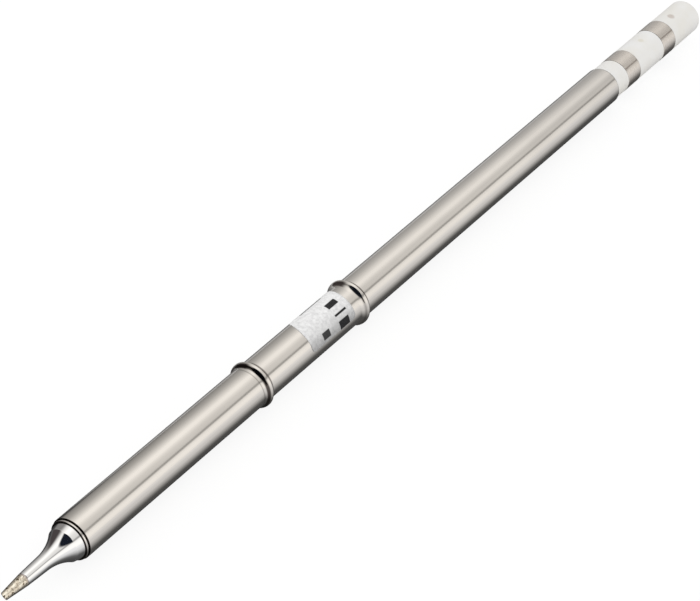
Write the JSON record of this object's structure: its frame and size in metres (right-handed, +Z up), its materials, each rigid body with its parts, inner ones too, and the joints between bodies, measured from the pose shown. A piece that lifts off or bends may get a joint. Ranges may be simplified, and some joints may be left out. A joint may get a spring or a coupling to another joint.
{
  "type": "soldering iron tip",
  "caption": "Heated soldering cartridge: a bevelled plated bit in a slim beaded steel tube, with an internal ribbon heater, a thermocouple and a ringed contact section at the rear.",
  "frame": {"origin": "centre of the flat rear end face, on the rod's axis", "axes": "the rod lies along X, with the bit towards -X and the rear end face's normal along +X; +Z is up as the object lies in the picture"},
  "size_m": [0.155, 0.0064, 0.0064],
  "materials": {
    "plated_bit": "bright hard chrome over iron-plated copper, tinned grey at the working end",
    "stainless_tube": "drawn and lightly polished stainless steel",
    "label_foil": "silvery white foil film with a slight mottle",
    "contact_metal": "turned contact metal, nickel plated, a little warm",
    "white_insulator": "white heat-resistant insulator, smooth and slightly glossy",
    "ceramic": "white fired alumina, unglazed",
    "heater_alloy": "resistance alloy, dull grey",
    "lead_wire": "bare nickel wire"
  },
  "bodies": {
    "root": {"soldering_bit": "plated_bit", "front_sleeve": "stainless_tube", "middle_tube": "stainless_tube", "rear_tube": "stainless_tube", "label": "label_foil", "front_insulator": "white_insulator", "front_contact_ring": "contact_metal", "middle_insulator": "white_insulator", "rear_contact_ring": "contact_metal", "end_insulator": "white_insulator", "heater_core": "ceramic", "heater_coil": "heater_alloy", "heater_jacket": "ceramic", "sensor_bead": "heater_alloy", "sensor_wire": "lead_wire", "plus_lead": "lead_wire", "minus_lead": "lead_wire", "front_lead_insulator": "ceramic", "rear_lead_insulator": "ceramic", "contact_core": "ceramic"}
  },
  "joints": []
}
